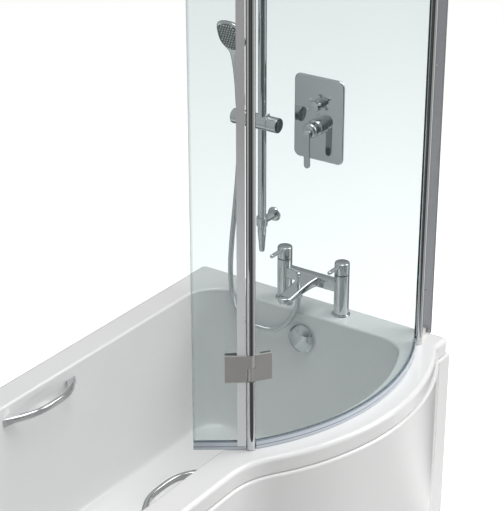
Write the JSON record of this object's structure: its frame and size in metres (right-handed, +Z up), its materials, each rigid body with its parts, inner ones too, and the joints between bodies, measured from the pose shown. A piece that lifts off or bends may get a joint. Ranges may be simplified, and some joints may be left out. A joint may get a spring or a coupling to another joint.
{
  "type": "shower bath",
  "caption": "White P-shaped shower bath with a curved hinged glass screen, bridge bath filler, hand shower on a rail and concealed valve.",
  "frame": {"origin": "middle of the outer box on the floor under the bath", "axes": "+X towards the tap-end wall, +Y towards the back wall, +Z up"},
  "size_m": [1.756, 0.8659, 1.981],
  "materials": {
    "white_acrylic": "glossy moulded acrylic",
    "chrome": "polished chrome plate",
    "brass": "plain machined brass",
    "steel": "zinc-plated steel",
    "board": "raw board",
    "glass": "clear toughened glass, faint green",
    "seal": "clear blue-grey flexible strip",
    "pale_strip": "satin pale plastic",
    "aluminium": "polished anodised profile",
    "dark_plastic": "moulded dark plastic",
    "white_plastic": "moulded white plastic"
  },
  "bodies": {
    "bath": {"bath_shell": "white_acrylic", "front_panel": "white_acrylic", "base_board": "board", "rim_battens": "board", "floor_batten": "board", "leg_channels": "steel", "leg_studs": "steel", "leg_nuts": "steel", "panel_clips": "steel", "wall_brackets": "steel", "grip_screws": "steel", "foot_pads": "dark_plastic", "overflow_body": "dark_plastic", "overflow_pipe": "dark_plastic", "waste_trap": "white_plastic", "pivot_brackets": "white_plastic", "grip_back": "chrome", "grip_front": "chrome", "overflow_cap": "chrome", "waste_flange": "chrome", "tap_body": "chrome", "tap_flanges": "chrome", "spout_aerator": "chrome", "tap_hose_nut": "chrome", "shower_hose": "chrome", "rail_tube": "chrome", "rail_ends": "chrome", "rail_brackets": "chrome", "valve_plate": "chrome", "valve_sleeves": "chrome", "tap_cartridges": "brass", "tap_tails": "brass", "tap_backnuts": "brass", "valve_body": "brass", "valve_spindles": "brass", "wall_channel": "aluminium"},
    "screen": {"pivot_post": "chrome", "curved_glass": "glass", "curved_seal": "seal", "end_post": "chrome", "screen_hinges": "chrome", "hinge_pins": "chrome"},
    "return_pane": {"fold_glass": "glass", "fold_strip": "pale_strip", "fold_seal": "seal", "fold_hinges": "chrome"},
    "hot_tap": {"hot_handle": "chrome"},
    "cold_tap": {"cold_handle": "chrome"},
    "diverter": {"tap_diverter": "chrome"},
    "plug": {"waste_plug": "chrome"},
    "slider": {"slider_body": "chrome"},
    "clamp_knob": {"slider_knob": "chrome"},
    "handset": {"handset_holder": "chrome", "handset_body": "chrome", "spray_face": "dark_plastic", "handset_nut": "chrome"},
    "flow_lever": {"valve_lever": "chrome"},
    "outlet_control": {"valve_cross": "chrome"}
  },
  "joints": [
    {"name": "screen_swing", "type": "hinge", "parent": "bath", "child": "screen", "pos_m": [0.748, -0.3014, 0.531], "axis": [0, 0, 1], "range_deg": [-25, 80]},
    {"name": "return_fold", "type": "hinge", "parent": "screen", "child": "return_pane", "pos_m": [0.082, -0.23953, 0.531], "axis": [0, 0, 1], "range_deg": [-90, 25]},
    {"name": "hot_turn", "type": "hinge", "parent": "bath", "child": "hot_tap", "pos_m": [0.778, 0.129, 0.65], "axis": [0, 0, 1], "range_deg": [0, 90]},
    {"name": "cold_turn", "type": "hinge", "parent": "bath", "child": "cold_tap", "pos_m": [0.778, -0.051, 0.65], "axis": [0, 0, 1], "range_deg": [-90, 0]},
    {"name": "diverter_lift", "type": "slide", "parent": "bath", "child": "diverter", "axis": [0, 0, 1], "range_m": [0, 0.01]},
    {"name": "plug_lift", "type": "slide", "parent": "bath", "child": "plug", "axis": [0, 0, 1], "range_m": [0, 0.009]},
    {"name": "slider_slide", "type": "slide", "parent": "bath", "child": "slider", "axis": [0, 0, 1], "range_m": [-0.1, 0.28], "deforming": ["shower_hose"]},
    {"name": "knob_turn", "type": "hinge", "parent": "slider", "child": "clamp_knob", "pos_m": [0.762, 0.163, 1.0275], "axis": [0, 1, 0], "range_deg": [-90, 90]},
    {"name": "holder_tilt", "type": "hinge", "parent": "slider", "child": "handset", "pos_m": [0.762, 0.243, 1.0275], "axis": [0, 1, 0], "range_deg": [-25, 15]},
    {"name": "lever_turn", "type": "hinge", "parent": "bath", "child": "flow_lever", "pos_m": [0.782, 0.055, 1.028], "axis": [1, 0, 0], "range_deg": [-90, 0]},
    {"name": "control_turn", "type": "hinge", "parent": "bath", "child": "outlet_control", "pos_m": [0.792, 0.055, 1.088], "axis": [1, 0, 0], "range_deg": [-90, 90]}
  ]
}
